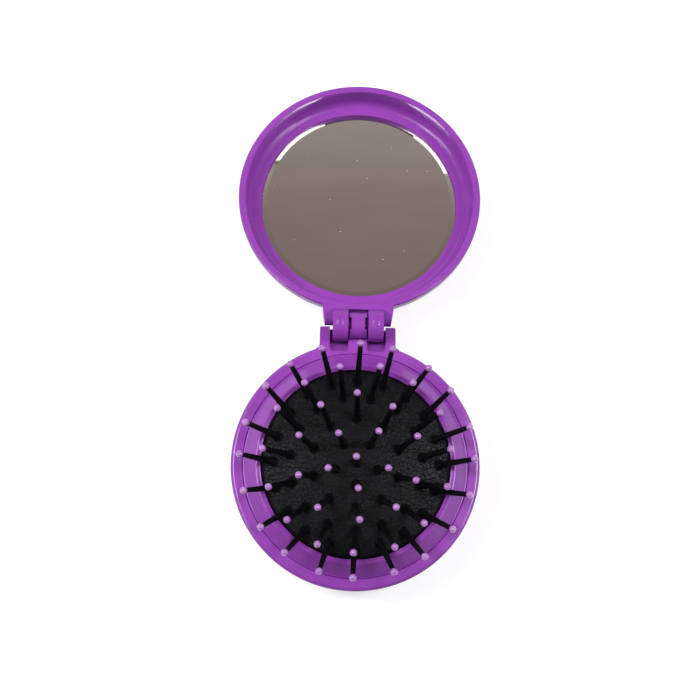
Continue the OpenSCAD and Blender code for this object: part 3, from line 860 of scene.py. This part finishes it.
def make_floor():
    """White table that takes a soft shadow and reads as white to the camera."""
    material = bpy.data.materials.new("white table")
    material.use_nodes = True
    tree = material.node_tree
    shader = tree.nodes["Principled BSDF"]
    shader.inputs["Base Color"].default_value = (*FLOOR_SHADE, 1)
    shader.inputs["Roughness"].default_value = 0.7
    shader.inputs["Specular IOR Level"].default_value = 0.0
    shader.inputs["Emission Color"].default_value = (1, 1, 1, 1)
    spot = tree.nodes.new("ShaderNodeTexCoord")
    away = tree.nodes.new("ShaderNodeVectorMath")
    away.operation = "LENGTH"
    fade = tree.nodes.new("ShaderNodeMapRange")
    fade.inputs["From Min"].default_value = FLOOR_NEAR
    fade.inputs["From Max"].default_value = FLOOR_FAR
    fade.inputs["To Min"].default_value = FLOOR_NEAR_GLOW
    fade.inputs["To Max"].default_value = FLOOR_FAR_GLOW
    lift = tree.nodes.new("ShaderNodeMath")
    lift.operation = "MULTIPLY"
    tree.links.new(spot.outputs["Object"], away.inputs[0])
    tree.links.new(away.outputs["Value"], fade.inputs["Value"])
    tree.links.new(fade.outputs["Result"], lift.inputs[1])
    tree.links.new(seen_straight(tree), lift.inputs[0])
    tree.links.new(lift.outputs[0], shader.inputs["Emission Strength"])
    shape = bmesh.new()
    bmesh.ops.create_grid(shape, x_segments=1, y_segments=1, size=FLOOR_SIZE / 2)
    bmesh.ops.translate(shape, verts=shape.verts, vec=(0, 0, -FLOOR_DROP))
    mesh = bpy.data.meshes.new("table")
    shape.to_mesh(mesh)
    shape.free()
    made = place("table", mesh, material)


def card(name, corners, material):
    """A card in the room, which only glossy surfaces such as the mirror see."""
    mesh = bpy.data.meshes.new(name)
    mesh.from_pydata(corners, [], [(0, 1, 2, 3)])
    made = place(name, mesh, material)
    made.visible_camera = False
    made.visible_diffuse = False
    made.visible_shadow = False
    made.visible_transmission = False


def level(low, high, height):
    """Corners of a level card between two places in plan."""
    return [(low[0], low[1], height), (low[0], high[1], height),
            (high[0], high[1], height), (high[0], low[1], height)]


def upright(start, end):
    """Corners of a wall between two places in plan."""
    return [(*start, ROOM_FOOT), (*end, ROOM_FOOT), (*end, CEILING_Z), (*start, CEILING_Z)]


def glow(name, shade, power):
    """Material of an evenly shining card."""
    material = bpy.data.materials.new(name)
    material.use_nodes = True
    tree = material.node_tree
    tree.nodes.remove(tree.nodes["Principled BSDF"])
    light = tree.nodes.new("ShaderNodeEmission")
    light.inputs["Color"].default_value = (*shade, 1)
    light.inputs["Strength"].default_value = power
    tree.links.new(light.outputs[0], tree.nodes["Material Output"].inputs["Surface"])
    return material


def shaded_ceiling():
    """Brown-grey ceiling, whose shade changes along Y."""
    material = glow("brown grey ceiling", (1.0, 1.0, 1.0), 1.0)
    tree = material.node_tree
    ramp = tree.nodes.new("ShaderNodeValToRGB")
    shades = ramp.color_ramp.elements
    while len(shades) < len(CEILING_SHADES):
        shades.new(0.5)
    for element, (y, shade) in zip(shades, CEILING_SHADES):
        element.position = (y - ROOM_LOW[1]) / (ROOM_HIGH[1] - ROOM_LOW[1])
        element.color = (*shade, 1)
    coordinates = tree.nodes.new("ShaderNodeTexCoord")
    split = tree.nodes.new("ShaderNodeSeparateXYZ")
    span = tree.nodes.new("ShaderNodeMapRange")
    span.inputs["From Min"].default_value = ROOM_LOW[1]
    span.inputs["From Max"].default_value = ROOM_HIGH[1]
    tree.links.new(coordinates.outputs["Object"], split.inputs[0])
    tree.links.new(split.outputs["Y"], span.inputs["Value"])
    tree.links.new(span.outputs["Result"], ramp.inputs["Fac"])
    tree.links.new(ramp.outputs["Color"], tree.nodes["Emission"].inputs["Color"])
    return material


def make_room():
    """Ceiling, two windows behind the part, a lamp and a strip on each side, and dim walls."""
    card("ceiling", level(ROOM_LOW, ROOM_HIGH, CEILING_Z), shaded_ceiling())
    for light, shade, power, drop, panes in PANES:
        material = glow(light, shade, power)
        for name, low, high in panes:
            card(name, level(low, high, CEILING_Z - drop), material)
    (left, front), (right, back) = ROOM_LOW, ROOM_HIGH
    dark = glow("dark wall", DARK_WALL, 1.0)
    dim = glow("dim wall", DIM_WALL, 1.0)
    card("front wall", upright((left, front), (right, front)), dark)
    card("back wall", upright((right, back), (left, back)), dim)
    card("left wall", upright((left, back), (left, front)), dim)
    card("right wall", upright((right, front), (right, back)), dim)


# ---- Assembly ----

purple = moulded_purple()
rubber = cushion_rubber()
nylon = bristle_nylon()
lilac = ball_lilac()
silver = mirror_silver()
ground = ground_glass()
foam = foam_tape()


def dress(node, material):
    """Gives a CAD node its finish."""
    for slot in frame["nodes"][node].material_slots:
        slot.material = material


for shell in ("base_shell", "pad_frame", "push_plate", "lid_shell"):
    dress(shell, purple)
dress("cushion_pad", rubber)
dress("mirror_glass", silver)
dress("mirror_tape", foam)
for k in range(RINGS + 1):
    dress("pin_centre" if k == 0 else f"pins_ring_{k}", nylon)
    dress("tip_centre" if k == 0 else f"tips_ring_{k}", lilac)

cushion = make_cushion(rubber)
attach(cushion, "carriage")
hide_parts("cushion_pad")

mirror = make_mirror(silver, ground)
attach(mirror, "lid")
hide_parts("mirror_glass")

ring_group = ring_tree()

shafts = grow("bristle_shafts", shaft_tree(ring_group),
              {"Scatter": SCATTER, "Seed": SEED, "Finish": nylon})
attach(shafts, "carriage")
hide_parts("pin_centre", *(f"pins_ring_{k}" for k in range(1, RINGS + 1)))

balls = grow("bristle_balls", ball_tree(ring_group),
             {"Scatter": SCATTER, "Seed": SEED, "Finish": lilac})
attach(balls, "carriage")
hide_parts("tip_centre", *(f"tips_ring_{k}" for k in range(1, RINGS + 1)))

collars = grow("rubber_collars", collar_tree(ring_group),
               {"Lean Step": 0.0, "Follow Dome": 1.0, "Finish": rubber})
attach(collars, "carriage")

make_world()
make_camera()
make_floor()
make_room()
for name, spot, size, watts in LAMPS:
    make_lamp(name, spot, size, watts)

bpy.context.scene.view_settings.view_transform = "Standard"
